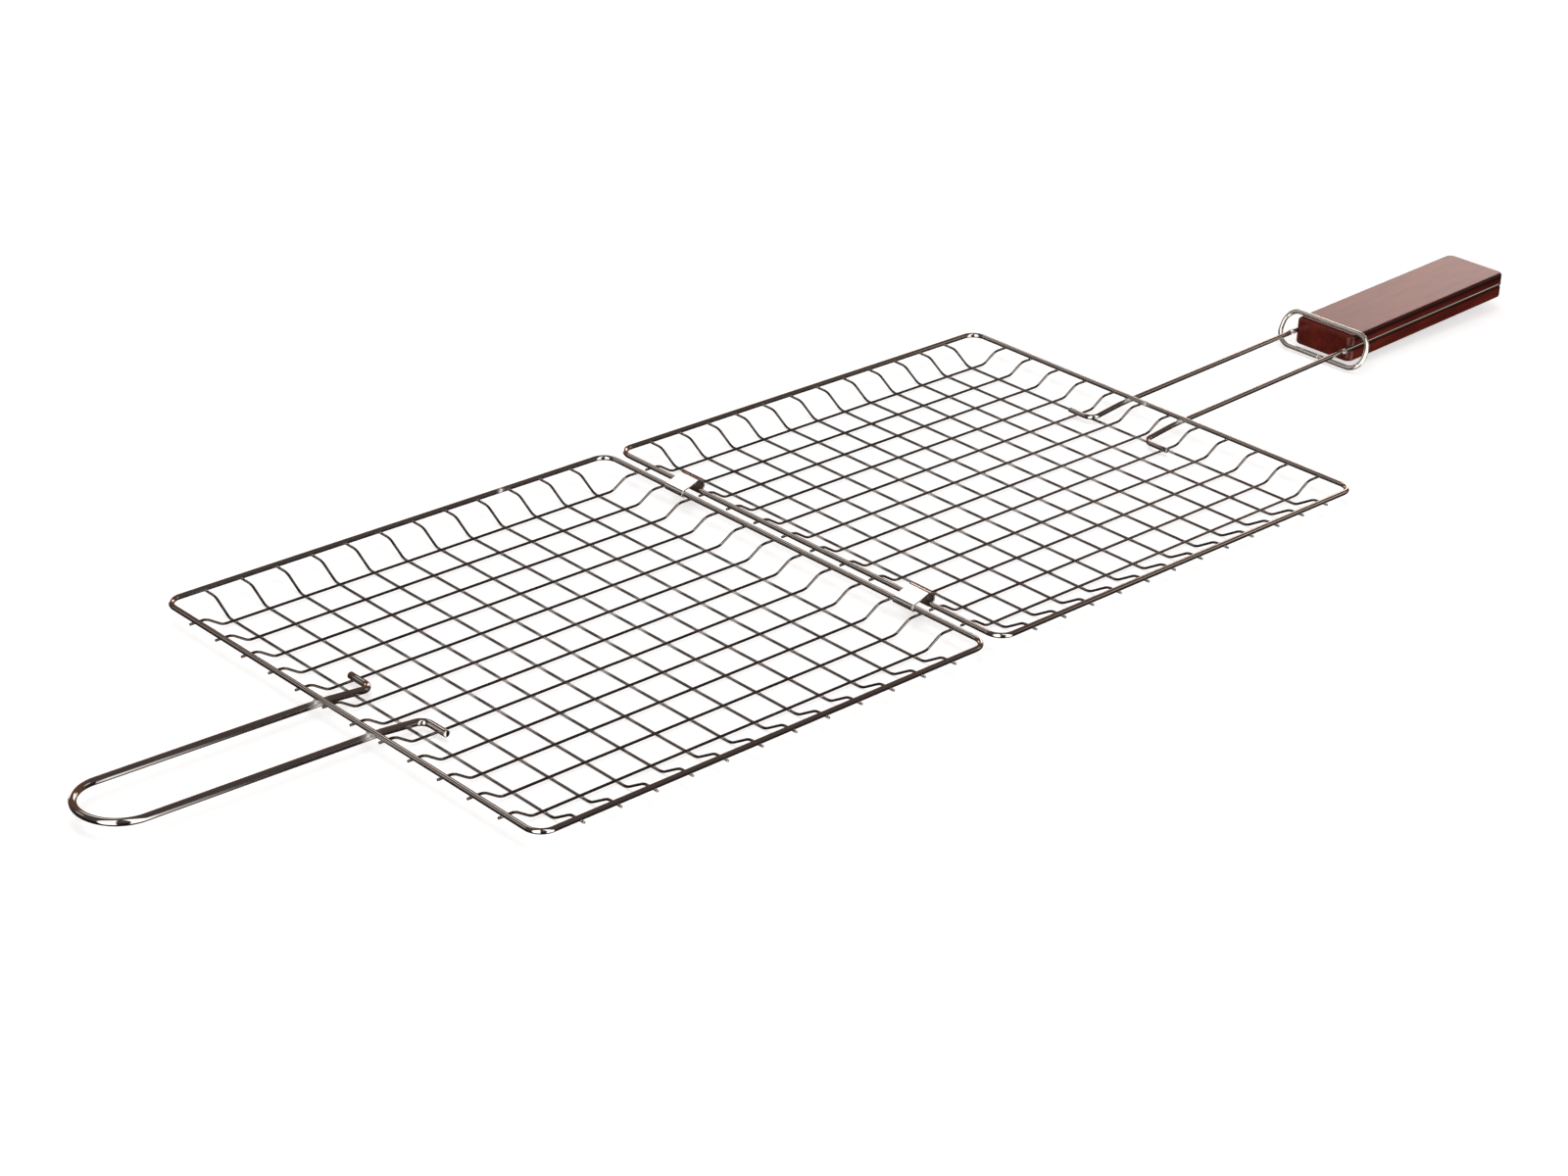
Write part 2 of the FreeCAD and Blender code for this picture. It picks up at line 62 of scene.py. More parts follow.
# The studio's brightness by direction, in linear light. Its room is dim, and browner behind the basket. The
# screens stand to the left and right of the camera, with a dark gap between them. A pair of limits is where
# an edge starts and ends: in a direction's Y on the left, in its X and slant times its Z on the right, in its
# Z at the foot, and in the sine of its angle from the middle of the gap.
FLOOR_GLOOM, ROOM_GLOOM = (0.020, 0.018, 0.020), (0.09, 0.082, 0.08)
BACK_GLOOM, BACK_EDGE, BACK_TOP = (0.16, 0.085, 0.055), (-0.2, -0.8), (0.9, 0.6)
HORIZON = (-0.25, 0.15)
SCREEN_GLOW = (2.3, 2.28, 2.25)
SCREEN_LEFT, SCREEN_RIGHT, SCREEN_SLANT = (-0.10, -0.22), (0.49, 0.43), 0.35
GAP_AZIMUTH, GAP_EDGE, SCREEN_FOOT = -115.0, (0.24, 0.32), (-0.80, -0.68)
PALE_BACKDROP = (0.96, 0.955, 0.95)     # what the camera itself sees past the floor
FLOOR_GLOW = 0.62

# Bright cards, each (direction, degrees from it where its edge ends and starts, glow): one that the grip's
# top reflects, one for the hinge clips, two low ones for the trays' corners, one for the wires beside the
# grip, and one for the wires that run across
CARDS = [((0.784, 0.509, 0.355), (8.5, 5.0), (4.9, 3.7, 3.4)),
         ((0.264, 0.633, 0.729), (9.5, 6.5), (1.9, 1.8, 1.75)),
         ((0.94, 0.34, 0.0), (15.0, 10.0), (2.2, 2.1, 2.05)),
         ((0.27, 0.96, 0.0), (15.0, 10.0), (2.2, 2.1, 2.05)),
         ((0.80, -0.50, 0.33), (13.0, 7.0), (0.75, 0.76, 0.70)),
         ((-0.634, 0.633, 0.446), (15.0, 8.0), (0.55, 0.54, 0.53))]

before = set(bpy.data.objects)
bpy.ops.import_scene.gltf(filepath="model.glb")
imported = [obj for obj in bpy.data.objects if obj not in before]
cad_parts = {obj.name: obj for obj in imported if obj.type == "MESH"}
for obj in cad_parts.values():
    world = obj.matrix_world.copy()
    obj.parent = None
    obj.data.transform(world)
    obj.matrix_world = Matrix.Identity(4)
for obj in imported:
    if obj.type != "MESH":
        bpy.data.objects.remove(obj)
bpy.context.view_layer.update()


# ---------------------------------------------------------------- centre lines

def unit(v):
    return v / np.linalg.norm(v)


def rounded(corners, turn=4.0):
    """Points along straight runs between corners, each inner corner rounded to its own radius."""
    points = [np.array(p, float) for p, _ in corners]
    line = [points[0]]
    for before, here, after, (_, radius) in zip(points, points[1:], points[2:], corners[1:]):
        back, on = unit(before - here), unit(after - here)
        half = math.acos(np.clip(back @ on, -1, 1)) / 2
        centre = here + unit(back + on) * (radius / math.sin(half))
        first = here + back * (radius / math.tan(half)) - centre
        last = here + on * (radius / math.tan(half)) - centre
        sweep = math.pi - 2 * half
        steps = max(3, int(math.degrees(sweep) / turn))
        for k in range(steps + 1):
            a = sweep * k / steps
            line.append(centre + (first * math.sin(sweep - a) + last * math.sin(a)) / math.sin(sweep))
    line.append(points[-1])
    return np.array(line)


def rounded_rectangle(half_x, half_y, corner, turn=4.0):
    """A closed centre line about the origin, from the middle of its -X side, counterclockwise."""
    line = [(-half_x, 0)]
    for sx, sy, first in ((-1, -1, 180), (1, -1, 270), (1, 1, 0), (-1, 1, 90)):
        for k in range(int(90 / turn) + 1):
            a = math.radians(first + 90 * k / int(90 / turn))
            line.append((sx * (half_x - corner) + corner * math.cos(a),
                         sy * (half_y - corner) + corner * math.sin(a)))
    return np.array([(x, y, 0.0) for x, y in line])


def spaced(line, step, marks=(), closed=False):
    """The line with points added so that none are further apart than step, and extra ones at the marks.

    A mark is a length along the line and the half width of a detail there. Returns the points and each
    one's length along the line."""
    ends = np.vstack([line, line[:1]]) if closed else line
    lengths = np.concatenate([[0], np.cumsum(np.linalg.norm(np.diff(ends, axis=0), axis=1))])
    at = [lengths[:1]]
    for a, b in zip(lengths, lengths[1:]):
        at.append(np.linspace(a, b, max(1, math.ceil((b - a) / step)) + 1)[1:])
    for place, half in marks:
        at.append(place + half * np.linspace(-2, 2, 17))
    at = np.unique(np.clip(np.concatenate(at), 0, lengths[-1]))
    at = at[np.concatenate([np.diff(at) > 0.02, [True]])]
    at[0] = 0       # its own point goes when the next one is too close
    if closed:
        at = at[at < lengths[-1] - 0.02]
    return np.stack([np.interp(at, lengths, ends[:, k]) for k in range(3)], axis=1), at


def length_of(line):
    return np.linalg.norm(np.diff(line, axis=0), axis=1).sum()


def wander(at, amount, wavelength):
    """A slow random drift along a wire, zero at both ends."""
    total = at[-1] - at[0]
    drift = np.zeros_like(at)
    for k in range(1, max(2, int(total / wavelength)) + 1):
        drift += rng.normal() * np.sin(math.pi * k * (at - at[0]) / total) / k ** 0.7
    return amount * drift


# ---------------------------------------------------------------- meshes

def make_piece(name, points, faces, body, material, nodes=(), sharp=38, painted_light=None):
    """One visible piece, smooth shaded with its sharp edges kept, riding on its CAD body."""
    mesh = bpy.data.meshes.new(name)
    mesh.from_pydata((np.asarray(points) * MM).tolist(), [], faces)
    mesh.validate()
    mesh.polygons.foreach_set("use_smooth", [True] * len(mesh.polygons))
    mesh.set_sharp_from_angle(angle=math.radians(sharp))
    # painted_light is a per-point mask of painted light: painted highlights on the wires, a band of painted
    # shade on the grip.
    if painted_light is not None:
        layer = mesh.attributes.new("painted_light_mask", "FLOAT", "POINT")
        layer.data.foreach_set("value", np.asarray(painted_light, np.float32))
    mesh.materials.append(material)
    piece = bpy.data.objects.new(name, mesh)
    bpy.context.scene.collection.objects.link(piece)
    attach(piece, body)
    if nodes:
        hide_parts(*nodes)
    return piece


def tube(line, up, across, along, sides, closed=False):
    """Points and faces of a wire. across and along are its half sizes beside and along the direction `up`."""
    if closed:
        forward = np.roll(line, -1, axis=0) - np.roll(line, 1, axis=0)
    else:
        forward = np.gradient(line, axis=0)
    forward /= np.linalg.norm(forward, axis=1)[:, None]
    up = np.asarray(up, float)
    high = up - (forward @ up)[:, None] * forward
    high /= np.linalg.norm(high, axis=1)[:, None]
    side = np.cross(forward, high)
    turn = np.linspace(0, 2 * math.pi, sides, endpoint=False)
    points = (line[:, None, :] + (along[:, None] * np.cos(turn))[..., None] * high[:, None, :]
              + (across[:, None] * np.sin(turn))[..., None] * side[:, None, :]).reshape(-1, 3)
    rings = len(line)
    faces = []
    for r in range(rings if closed else rings - 1):
        a, b = r * sides, ((r + 1) % rings) * sides
        for k in range(sides):
            n = (k + 1) % sides
            faces.append((a + k, b + k, b + n, a + n))
    if not closed:
        faces.append(tuple(range(sides)))
        faces.append(tuple(range(rings * sides - 1, (rings - 1) * sides - 1, -1)))
    return points, faces


def cropped(at, radius, round_off):
    """The radius along an open wire whose sheared ends are slightly rounded."""
    edge = np.minimum(at - at[0], at[-1] - at)
    inside = np.clip(edge / round_off, 0, 1)
    return radius * (1 - 0.3 * (1 - np.sqrt(1 - (1 - inside) ** 2)))


def merge(parts):
    """Several (points, faces) as one."""
    points, faces, start = [], [], 0
    for p, f in parts:
        points.append(p)
        faces += [tuple(start + i for i in face) for face in f]
        start += len(p)
    return np.vstack(points), faces


def weld(x, y, upper, lower, reach, sides=14, stretch=1.0):
    """A weld's metal, squeezed out round the contact of two crossed wires.

    upper and lower are (height of the centre line, radius, angle of its direction from X in radians). stretch
    draws the metal out along the lower wire into a fillet on each side of the upper one."""
    turn = np.linspace(0, 2 * math.pi, sides, endpoint=False)
    wobble = 1 + 0.08 * rng.normal(size=sides)
    wobble = (wobble + np.roll(wobble, 1) + np.roll(wobble, -1)) / 3
    contact = upper[0] - upper[1]
    rings = []
    for share in (-0.25, 0.0, 0.25, 0.5, 0.75, 1.0, 1.25):
        pinch = 1 - 0.22 * math.sin(math.pi * min(max(share, 0), 1))
        on, off = reach * stretch * wobble * pinch * np.cos(turn), reach * wobble * pinch * np.sin(turn)
        dx = on * math.cos(lower[2]) - off * math.sin(lower[2])
        dy = on * math.sin(lower[2]) + off * math.cos(lower[2])
        heights = []
        for height, radius, angle, sign in ((*upper, -1), (*lower, 1)):
            beside = np.abs(-dx * math.sin(angle) + dy * math.cos(angle))
            heights.append(height + sign * np.sqrt(np.clip(radius ** 2 - beside ** 2, 0.02, None)))
        top, bottom = heights
        if stretch > 1:
            run = np.clip((np.hypot(on, off) - 0.6 * upper[1]) / (reach * stretch - 0.6 * upper[1]), 0, 1)
            top = np.minimum(top, contact + 0.75 * upper[1] * (1 - run) ** 1.5)
            bottom = np.minimum(bottom, top - 0.02)
        rings.append(np.stack([x + dx, y + dy, top + (bottom - top) * share], axis=1))
    points = np.vstack(rings)
    faces = [tuple(range(sides)), tuple(range(len(points) - 1, len(points) - sides - 1, -1))]
    for r in range(len(rings) - 1):
        for k in range(sides):
            n = (k + 1) % sides
            faces.append((r * sides + k, (r + 1) * sides + k, (r + 1) * sides + n, r * sides + n))
    return points, faces


# ---------------------------------------------------------------- materials

class Nodes:
    """Small helper for wiring a material's nodes."""

    def __init__(self, name):
        self.material = bpy.data.materials.new(name)
        self.material.use_nodes = True
        self.tree = self.material.node_tree
        self.shader = self.tree.nodes["Principled BSDF"]

    def add(self, kind, **inputs):
        node = self.tree.nodes.new(kind)
        for key, value in inputs.items():
            if isinstance(value, bpy.types.NodeSocket):
                self.tree.links.new(value, node.inputs[key])
            else:
                node.inputs[key].default_value = value
        return node

    def link(self, output, target):
        self.tree.links.new(output, self.shader.inputs[target])

    def coordinates(self, scale):
        """Object coordinates, stretched by the scale in each direction."""
        place = self.tree.nodes.new("ShaderNodeTexCoord").outputs["Object"]
        return self.add("ShaderNodeMapping", Vector=place, Scale=scale).outputs["Vector"]

    def noise(self, scale, size, detail=3.0, roughness=0.5, distortion=0.0):
        return self.add("ShaderNodeTexNoise", Vector=self.coordinates(scale), Scale=size, Detail=detail,
                        Roughness=roughness, Distortion=distortion).outputs["Fac"]

    def ramp(self, value, *stops):
        node = self.add("ShaderNodeValToRGB", Fac=value)
        band = node.color_ramp
        while len(band.elements) < len(stops):
            band.elements.new(0.5)
        for element, (place, colour) in zip(band.elements, stops):
            element.position = place
            element.color = (*colour, 1.0)
        return node.outputs["Color"]

    def spread(self, value, low, high, from_low=0.0, from_high=1.0):
        node = self.add("ShaderNodeMapRange", Value=value)
        node.inputs["From Min"].default_value, node.inputs["From Max"].default_value = from_low, from_high
        node.inputs["To Min"].default_value, node.inputs["To Max"].default_value = low, high
        return node.outputs["Result"]

    def mix(self, share, a, b):
        node = self.tree.nodes.new("ShaderNodeMix")
        node.data_type = "RGBA"
        for key, value in ((0, share), (6, a), (7, b)):
            if isinstance(value, bpy.types.NodeSocket):
                self.tree.links.new(value, node.inputs[key])
            else:
                node.inputs[key].default_value = value if key == 0 else (*value, 1.0)
        return node.outputs[2]

    def bump(self, height, strength, distance):
        node = self.add("ShaderNodeBump", Height=height, Strength=strength, Distance=distance)
        self.link(node.outputs["Normal"], "Normal")


def plated_wire(name, clean, worn, smooth, dull, metallic=1.0):
    """Plating over drawn wire: faint cloudiness, fine pitting, and a painted highlight beside the welds:
    paler, duller metal.
    """
    n = Nodes(name)
    cloud = n.noise((1, 1, 1), 45, detail=4)
    fine = n.noise((1, 1, 1), 1600, detail=4, roughness=0.6)
    # The mask read here paints a highlight: paler, less metallic and rougher plating beside welds and
    # crossings.
    painted_light = n.tree.nodes.new("ShaderNodeAttribute")
    painted_light.attribute_name = "painted_light_mask"
    stained = n.mix(n.spread(cloud, 0.0, 1.0, 0.35, 0.75), clean, worn)
    highlighted = n.mix(painted_light.outputs["Fac"], stained, (0.86, 0.84, 0.81))
    n.link(highlighted, "Base Color")
    base = n.spread(fine, smooth, dull, 0.3, 0.8)
    rough = n.add("ShaderNodeMath")
    rough.operation = "MULTIPLY_ADD"
    n.tree.links.new(painted_light.outputs["Fac"], rough.inputs[0])
    rough.inputs[1].default_value = 0.3
    n.tree.links.new(base, rough.inputs[2])
    n.link(rough.outputs[0], "Roughness")
    n.link(n.spread(painted_light.outputs["Fac"], metallic, 0.45 * metallic), "Metallic")
    n.bump(fine, 0.05, 0.00002)
    return n.material


def weld_metal():
    """Plated over squeezed-out metal: bright, but uneven."""
    n = Nodes("weld_metal")
    fine = n.noise((1, 1, 1), 1400, detail=5, roughness=0.7)
    n.link(n.ramp(fine, (0.3, (0.72, 0.70, 0.67)), (0.7, (0.92, 0.91, 0.89))), "Base Color")
    n.link(n.spread(fine, 0.22, 0.45, 0.3, 0.7), "Roughness")
    n.shader.inputs["Metallic"].default_value = 0.5
    n.bump(fine, 0.3, 0.00006)
    return n.material


def pressed_sheet():
    """Plated strip: rolling lines across it and slightly darker patches."""
    n = Nodes("pressed_sheet")
    lines = n.noise((6, 0.3, 6), 500, detail=4, roughness=0.6)
    cloud = n.noise((1, 1, 1), 180, detail=4)
    patches = n.spread(cloud, 0.0, 1.0, 0.35, 0.7)
    n.link(n.mix(patches, (0.74, 0.72, 0.70), (0.86, 0.84, 0.82)), "Base Color")
    n.link(n.spread(lines, 0.1, 0.28, 0.3, 0.75), "Roughness")
    n.shader.inputs["Metallic"].default_value = 1.0
    n.bump(lines, 0.2, 0.00004)
    return n.material


def stained_wood():
    """Red-brown stained and varnished hardwood: long grain, fine dark pores, and a dark band of painted shade
    along the top of its sides.
    """
    n = Nodes("stained_wood")
    bands = n.noise((0.9, 14, 14), 22, detail=6, roughness=0.6, distortion=0.6)
    fibres = n.noise((1, 42, 42), 55, detail=4, roughness=0.7)
    pores = n.noise((1, 9, 9), 260, detail=3, roughness=0.6)
    cloud = n.noise((1, 2.4, 2.4), 26, detail=3)
    grain = n.ramp(bands, (0.28, (0.040, 0.0028, 0.0012)), (0.5, (0.072, 0.0052, 0.0021)),
                   (0.74, (0.115, 0.0105, 0.0042)))
    streaked = n.mix(n.spread(fibres, 0.0, 0.45, 0.42, 0.75), grain, (0.035, 0.004, 0.0025))
    mottled = n.mix(n.spread(cloud, 0.0, 0.4, 0.45, 0.75), streaked, (0.17, 0.020, 0.009))
    pored = n.mix(n.spread(pores, 0.0, 0.75, 0.62, 0.70), mottled, (0.012, 0.002, 0.0015))
    # The mask read here holds a band of painted shade along the top of the grip's sides, mixed in as
    # near-black colour.
    edge = n.tree.nodes.new("ShaderNodeAttribute")
    edge.attribute_name = "painted_light_mask"
    n.link(n.mix(edge.outputs["Fac"], pored, (0.011, 0.0012, 0.001)), "Base Color")
    n.link(n.spread(fibres, 0.30, 0.36, 0.3, 0.8), "Roughness")
    n.shader.inputs["Specular IOR Level"].default_value = 0.12
    n.shader.inputs["Coat Weight"].default_value = 0.42
    n.shader.inputs["Coat Roughness"].default_value = 0.24
    n.shader.inputs["Coat IOR"].default_value = 1.5
    height = n.add("ShaderNodeMath")
    height.operation = "MULTIPLY_ADD"
    n.tree.links.new(pores, height.inputs[0])
    height.inputs[1].default_value = -0.5
    n.tree.links.new(fibres, height.inputs[2])
    n.bump(height.outputs[0], 0.12, 0.00008)
    return n.material


FRAME_WIRE = plated_wire("frame_wire", (0.58, 0.55, 0.52), (0.50, 0.46, 0.43), smooth=0.05, dull=0.11)
MESH_WIRE = plated_wire("mesh_wire", (0.25, 0.215, 0.195), (0.19, 0.16, 0.145), smooth=0.07, dull=0.15)
RING_WIRE = plated_wire("ring_wire", (0.95, 0.92, 0.85), (0.88, 0.84, 0.76), smooth=0.05, dull=0.11,
                        metallic=0.9)
WELD_METAL = weld_metal()
SHEET = pressed_sheet()
WOOD = stained_wood()


# ---------------------------------------------------------------- trays

def box_mm(node):
    low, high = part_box(node)
    return np.array(low) / MM, np.array(high) / MM


class Tray:
    """Where a tray's rim and wires are, from their CAD boxes."""

    def __init__(self, name, side, body):
        self.name, self.side, self.body = name, side, body
        low, high = box_mm(f"{name}_rim")
        self.rim_radius = (high[2] - low[2]) / 2
        self.centre = (low + high) / 2
        self.half = (high[0] - low[0]) / 2 - self.rim_radius
        self.long, self.cross = [], []
        for wires, kind, axis in ((self.long, "long", 1), (self.cross, "cross", 0)):
            number = 1
            while f"{name}_{kind}_wire_{number:02d}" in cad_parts:
                node = f"{name}_{kind}_wire_{number:02d}"
                low, high = box_mm(node)
                radius = (high[axis] - low[axis]) / 2
                wires.append({"node": node, "place": (low[axis] + high[axis]) / 2, "radius": radius,
                              "bottom": low[2] + radius, "top": high[2] - radius,
                              "reach": (high[1 - axis] - low[1 - axis]) / 2})
                number += 1


def highlight_near(distance, width=HIGHLIGHT_SPREAD):
    """How strong the painted highlight (paler, duller plating) is at that distance from a weld, from 1 to 0.
    """
    return np.exp(-(distance / width) ** 2)


def build_rim(tray, seam):
    """The rim, with the butt weld that closes it. seam is how far along the wire the weld is."""
    line = rounded_rectangle(tray.half, tray.half, RIM_CORNER)
    line, at = spaced(line, 6.0, [(seam, 0.5), (seam, 1.3)], closed=True)
    off = at - seam
    radius = tray.rim_radius * (1 + 0.004 * np.sin(at / 17.0)) - 0.02
    radius += 0.16 * np.exp(-(off / 0.9) ** 2) - 0.42 * np.exp(-(off / 0.28) ** 2)
    drift = 0.10 * np.sin(at / 71.0) + 0.07 * np.sin(at / 43.0 + 1.0)
    x, y = np.abs(line[:, 0]), np.abs(line[:, 1])
    outward = np.where((x > y)[:, None], np.sign(line[:, :1]) * [[1.0, 0, 0]],
                       np.sign(line[:, 1:2]) * [[0, 1.0, 0]])
    straight = np.clip((tray.half - RIM_CORNER - np.minimum(x, y)) / 30, 0, 1)
    line = line + tray.centre - outward * (np.abs(drift) * straight)[:, None]
    points, faces = tube(line, (0, 0, 1), radius, radius, 20, closed=True)
    # A painted highlight at the butt weld: paler, duller plating.
    painted_light = np.repeat(0.6 * highlight_near(off, 1.8), 20)
    make_piece(f"{tray.name}_rim_wire", points, faces, tray.body, FRAME_WIRE,
               [f"{tray.name}_rim"], painted_light=painted_light)


def wire_line(wire, shelf_trim):
    """A mesh wire's centre line in its own plane: along, 0, up. Its ends are bent up to lie under the rim."""
    reach = wire["reach"]
    knee = reach - MESH_SHELF
    slope = math.radians(MESH_SLOPE)
    run = (wire["top"] - wire["bottom"]) / math.tan(slope)
    ease = MESH_BEND * math.tan(slope / 2)
    top, bottom = wire["top"], wire["bottom"]
    left, right = shelf_trim
    knee_out = knee - ease
    toe_out = knee_out - run
    return rounded([((-reach + left, 0, top), 0), ((-knee_out, 0, top), MESH_BEND),
                    ((-toe_out, 0, bottom), MESH_BEND), ((toe_out, 0, bottom), MESH_BEND),
                    ((knee_out, 0, top), MESH_BEND), ((reach - right, 0, top), 0)], turn=6.0)


def build_mesh_wire(tray, wire, along_x, crossings):
    """One wire of a tray's mesh. The ones that run across, underneath, get a painted highlight at their
    crossings: paler, duller plating.
    """
    line, at = spaced(wire_line(wire, rng.uniform(0, 0.45, 2)), 7.0, [(0.1, 0.12)])
    line, at = spaced(line, 7.0, [(0.0, 0.12), (at[-1], 0.12)])     # more points for the rounded ends
    radius = cropped(at, wire["radius"] - SKIN, 0.25)
    flat = np.clip((wire["reach"] - 22 - np.abs(line[:, 0])) / 10, 0, 1)
    line[:, 1] += wander(at, 0.10, 60) * flat
    if along_x:
        line = line + [tray.centre[0], wire["place"], 0]
        hint = (0, 1, 0)
    else:
        line = np.stack([-line[:, 1], line[:, 0], line[:, 2]], axis=1) + [wire["place"], tray.centre[1], 0]
        hint = (1, 0, 0)
    points, faces = tube(line, hint, radius, radius, 12)
    # The wires underneath get a painted highlight at each crossing and where they meet the rim.
    run = line[:, 0] if along_x else line[:, 1]
    nearest = np.min(np.abs(run[:, None] - np.array(crossings)[None, :]), axis=1)
    make_piece(f"{wire['node']}_rod", points, faces, tray.body, MESH_WIRE, [wire["node"]],
               painted_light=np.repeat((0.0 if along_x else 1.0) * highlight_near(nearest, 1.7), 12))


def build_tray_welds(tray):
    """The squeezed-out metal at every crossing of the mesh, and where each wire's end meets the rim."""
    parts = []
    for upper in tray.long:
        for lower in tray.cross:
            parts.append(weld(lower["place"], upper["place"], (upper["bottom"], upper["radius"], 0.0),
                              (lower["bottom"], lower["radius"], math.pi / 2),
                              0.56 * rng.uniform(0.9, 1.08), stretch=2.5))
    rim = (tray.centre[2], tray.rim_radius)
    for sign in (-1, 1):
        for wire in tray.long:
            parts.append(weld(tray.centre[0] + sign * tray.half, wire["place"], (*rim, math.pi / 2),
                              (wire["top"], wire["radius"], 0.0), 0.6 * rng.uniform(0.9, 1.1), 12))
        for wire in tray.cross:
            parts.append(weld(wire["place"], tray.centre[1] + sign * tray.half, (*rim, 0.0),
                              (wire["top"], wire["radius"], math.pi / 2), 0.6 * rng.uniform(0.9, 1.1), 12))
    points, faces = merge(parts)
    make_piece(f"{tray.name}_mesh_welds", points, faces, tray.body, WELD_METAL)


def build_tray(tray, seam):
    build_rim(tray, seam)
    rim_lines = [tray.half, -tray.half]
    across = [w["place"] for w in tray.cross] + [tray.centre[0] + r for r in rim_lines]
    along = [w["place"] for w in tray.long] + [tray.centre[1] + r for r in rim_lines]
    for wire in tray.long:
        build_mesh_wire(tray, wire, True, across)
    for wire in tray.cross:
        build_mesh_wire(tray, wire, False, along)
    build_tray_welds(tray)


# ---------------------------------------------------------------- handles

class Handle:
    """Where a handle's legs are welded under a tray's outer rim, and the way that they lead."""

    def __init__(self, tray, diameter, half_width, rise, shift=0.0):
        self.tray, self.radius, self.half_width, self.shift = tray, diameter / 2, half_width, shift
        drop = tray.rim_radius + self.radius - WELD_SINK
        self.weld = np.array([tray.centre[0] + tray.side * tray.half, 0, tray.centre[2] - drop])
        self.angle = math.radians(rise)
        self.lead = np.array([tray.side * math.cos(self.angle), 0, math.sin(self.angle)])
        self.up = np.array([-tray.side * math.sin(self.angle), 0, math.cos(self.angle)])
        mesh = tray.long[0]
        self.foot = np.array([self.weld[0] - tray.side * FOOT_INSET, 0,
                              mesh["bottom"] + mesh["radius"] + self.radius - WELD_SINK])

    def line(self, reach, end_bend):
        kink = self.weld - self.lead * KINK_INSET
        end = self.weld + self.lead * reach
        leg = [(self.foot, FOOT_TIP, 0), (self.foot, self.half_width, FOOT_BEND),
               (kink, self.half_width, KINK_BEND), (end, self.half_width, end_bend)]
        there = [((p[0], self.shift + y, p[2]), radius) for p, y, radius in leg]
        back = [((p[0], self.shift - y, p[2]), radius) for p, y, radius in reversed(leg)]
        return rounded(there + back, turn=3.0)

    def build_welds(self, name):
        """Welds under the rim, and under each foot where it crosses a mesh wire."""
        parts = []
        rim = (self.tray.centre[2], self.tray.rim_radius, math.pi / 2)
        for sign in (-1, 1):
            reach = 0.93 * min(self.radius, self.tray.rim_radius)
            parts.append(weld(self.weld[0], self.shift + sign * self.half_width, rim,
                              (self.weld[2], self.radius, 0.0), reach, sides=24, stretch=1.9))
            for wire in self.tray.long:
                if self.half_width + FOOT_BEND < sign * (wire["place"] - self.shift) < FOOT_TIP:
                    parts.append(weld(self.foot[0], wire["place"], (self.foot[2], self.radius, math.pi / 2),
                                      (wire["bottom"], wire["radius"], 0.0), 0.6))
        points, faces = merge(parts)
        make_piece(name, points, faces, self.tray.body, WELD_METAL)


def build_loop_handle(tray):
    handle = Handle(tray, LOOP_DIAMETER, LOOP_HALF_WIDTH, LOOP_RISE, LOOP_SHIFT)
    line = handle.line(LOOP_REACH / math.cos(handle.angle), LOOP_HALF_WIDTH - 0.01)
    line, at = spaced(line, 6.0, [(0, 0.2), (length_of(line), 0.2)])
    radius = cropped(at, handle.radius - SKIN, 0.5)
    points, faces = tube(line, (0, 0, 1), radius, radius, 28)
    # A painted highlight beside the welds under the rim: paler, duller plating.
    near = np.abs(line[:, 0] - handle.weld[0])
    make_piece("loop_handle_wire", points, faces, tray.body, FRAME_WIRE, ["loop_handle"],
               painted_light=np.repeat(0.8 * highlight_near(near), 28))
    handle.build_welds("loop_handle_welds")


def build_long_handle(tray):
    """The handle wire, flattened into a stop on each leg in front of the grip."""
    handle = Handle(tray, HANDLE_DIAMETER, HANDLE_HALF_WIDTH, HANDLE_RISE)
    line = handle.line(GRIP_DISTANCE + GRIP_LENGTH + GRIP_END_GAP, GRIP_END_BEND)
    total = length_of(line)
    out = (line - handle.weld) @ handle.lead
    lengths = np.concatenate([[0], np.cumsum(np.linalg.norm(np.diff(line, axis=0), axis=1))])
    stop = GRIP_DISTANCE - STOP_SETBACK
    half = len(line) // 2
    first = np.interp(stop, out[:half], lengths[:half])
    stops = (first, total - first)
    line, at = spaced(line, 6.0, [(place, STOP_LENGTH / 2) for place in stops] + [(0, 0.2), (total, 0.2)])
    off = np.min([np.abs(at - place) for place in stops], axis=0)
    crimp = np.clip((STOP_LENGTH / 2 + 0.5 - off) / 0.9, 0, 1)
    crimp = crimp * crimp * (3 - 2 * crimp)
    plain = cropped(at, handle.radius - SKIN, 0.5)
    across = plain + crimp * (STOP_WIDTH / 2 - handle.radius)
    along = plain + crimp * (STOP_HEIGHT / 2 - handle.radius)
    points, faces = tube(line, (0, 0, 1), across, along, 28)
    # A painted highlight beside the welds under the rim and on the flattened stops.
    near = np.abs(line[:, 0] - handle.weld[0])
    make_piece("long_handle_wire", points, faces, tray.body, FRAME_WIRE, ["long_handle"],
               painted_light=np.repeat(np.clip(0.8 * highlight_near(near) + 0.5 * crimp, 0, 1), 28))
    handle.build_welds("long_handle_welds")
    return handle


# ---------------------------------------------------------------- wooden grip

def offset_from_wire(x, y):
    """How far outside the handle wire's centre line a point of the grip's plan is."""
    bend_x = GRIP_LENGTH / 2 + GRIP_END_GAP - GRIP_END_BEND
    bend_y = HANDLE_HALF_WIDTH - GRIP_END_BEND
    y = abs(y)
    if x <= bend_x:
        return y - HANDLE_HALF_WIDTH
    if y <= bend_y:
        return x - bend_x - GRIP_END_BEND
    return math.hypot(x - bend_x, y - bend_y) - GRIP_END_BEND


